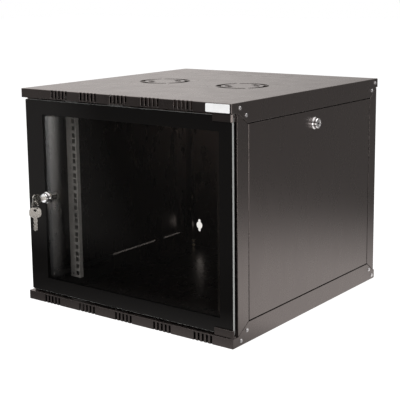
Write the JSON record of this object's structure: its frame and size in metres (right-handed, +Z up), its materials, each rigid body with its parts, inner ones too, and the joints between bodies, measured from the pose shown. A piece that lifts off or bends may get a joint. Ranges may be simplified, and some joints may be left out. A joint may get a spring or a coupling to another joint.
{
  "type": "wall mount network cabinet",
  "caption": "Wall mount rack cabinet in black folded sheet steel with a hinged tinted glass door, adjustable 19 inch rails, lockable lift-off side panels and fan vents in the top",
  "frame": {"origin": "centre of the bottom pan's flat underside, on the face the cabinet stands on", "axes": "+X to the right as seen from the door, +Y to the back where the wall is, +Z up; the door faces -Y"},
  "size_m": [0.56, 0.6025, 0.459],
  "materials": {
    "powder_coated_steel": "black semi-gloss powder coat with a fine texture",
    "zinc_steel": "bright zinc plate, faintly mottled",
    "chrome": "polished chrome plate",
    "bright_steel": "bright zinc-plated fastener steel",
    "nickel_key": "nickel-plated brass, tumbled",
    "brass": "plain brass",
    "tinted_glass": "toughened glass, smoke tinted, polished edges",
    "printed_border": "black ceramic border fired on the back of the glass",
    "black_clamp": "black painted zinc casting",
    "rubber": "black rubber",
    "white_label": "bare white plastic plate"
  },
  "bodies": {
    "cabinet": {"bottom_pan": "powder_coated_steel", "top_pan": "powder_coated_steel", "front_post_left": "powder_coated_steel", "front_post_right": "powder_coated_steel", "rear_post_left": "powder_coated_steel", "rear_post_right": "powder_coated_steel", "back_panel": "powder_coated_steel", "rail_support_bottom_left": "zinc_steel", "rail_support_bottom_right": "zinc_steel", "rail_support_top_left": "zinc_steel", "rail_support_top_right": "zinc_steel", "hinge_pins": "bright_steel", "hinge_washers": "bright_steel", "door_stop": "zinc_steel", "door_stop_bumper": "rubber", "corner_screws_left": "bright_steel", "corner_screws_right": "bright_steel", "back_panel_screws": "bright_steel", "label_plate": "white_label", "earth_stud": "bright_steel", "earth_stud_nuts": "brass"},
    "door": {"door_glass": "tinted_glass", "door_glass_border": "printed_border", "hinge_clamp_top": "black_clamp", "hinge_clamp_bottom": "black_clamp", "hinge_clamp_pads": "rubber", "hinge_clamp_screws": "bright_steel", "door_lock_body": "chrome", "door_lock_nut": "chrome"},
    "door_lock": {"door_lock_plug": "chrome", "door_lock_cam": "zinc_steel", "door_cam_screw": "bright_steel", "door_key": "nickel_key"},
    "ring": {"key_ring": "bright_steel"},
    "spare": {"spare_key": "nickel_key"},
    "side_panel_left_tray": {"side_panel_left": "powder_coated_steel", "side_left_lock_body": "chrome", "side_left_lock_nut": "chrome"},
    "side_lock_left": {"side_left_lock_plug": "chrome", "side_left_lock_cam": "zinc_steel", "side_left_cam_screw": "bright_steel"},
    "rail_left_set": {"rail_left": "zinc_steel", "rail_bolts_left": "bright_steel", "rail_nuts_left": "bright_steel"},
    "side_panel_right_tray": {"side_panel_right": "powder_coated_steel", "side_right_lock_body": "chrome", "side_right_lock_nut": "chrome"},
    "side_lock_right": {"side_right_lock_plug": "chrome", "side_right_lock_cam": "zinc_steel", "side_right_cam_screw": "bright_steel"},
    "rail_right_set": {"rail_right": "zinc_steel", "rail_bolts_right": "bright_steel", "rail_nuts_right": "bright_steel"}
  },
  "joints": [
    {"name": "door_hinge", "type": "hinge", "parent": "cabinet", "child": "door", "pos_m": [0.263, -0.2732, 0.2295], "axis": [0, 0, 1], "range_deg": [0, 180]},
    {"name": "door_lock_turn", "type": "hinge", "parent": "door", "child": "door_lock", "pos_m": [-0.213, -0.2755, 0.2295], "axis": [0, 1, 0], "range_deg": [0, 90]},
    {"name": "ring_swing", "type": "hinge", "parent": "door_lock", "child": "ring", "pos_m": [-0.213, -0.3105, 0.2275], "axis": [1, 0, 0], "range_deg": [-60, 20]},
    {"name": "spare_key_swing", "type": "hinge", "parent": "ring", "child": "spare", "pos_m": [-0.213, -0.3105, 0.2103], "axis": [1, 0, 0], "range_deg": [-25, 10]},
    {"name": "side_panel_left_tilt", "type": "hinge", "parent": "cabinet", "child": "side_panel_left_tray", "pos_m": [-0.27, 0.008, 0.042], "axis": [0, -1, 0], "range_deg": [0, 20]},
    {"name": "side_lock_left_turn", "type": "hinge", "parent": "side_panel_left_tray", "child": "side_lock_left", "pos_m": [-0.27, 0.008, 0.391], "axis": [1, 0, 0], "range_deg": [0, 90]},
    {"name": "rail_left_slide", "type": "slide", "parent": "cabinet", "child": "rail_left_set", "axis": [0, 1, 0], "range_m": [-0.05, 0.1]},
    {"name": "side_panel_right_tilt", "type": "hinge", "parent": "cabinet", "child": "side_panel_right_tray", "pos_m": [0.27, 0.008, 0.042], "axis": [0, 1, 0], "range_deg": [0, 20]},
    {"name": "side_lock_right_turn", "type": "hinge", "parent": "side_panel_right_tray", "child": "side_lock_right", "pos_m": [0.27, 0.008, 0.391], "axis": [1, 0, 0], "range_deg": [0, 90]},
    {"name": "rail_right_slide", "type": "slide", "parent": "cabinet", "child": "rail_right_set", "axis": [0, 1, 0], "range_m": [-0.05, 0.1]}
  ]
}
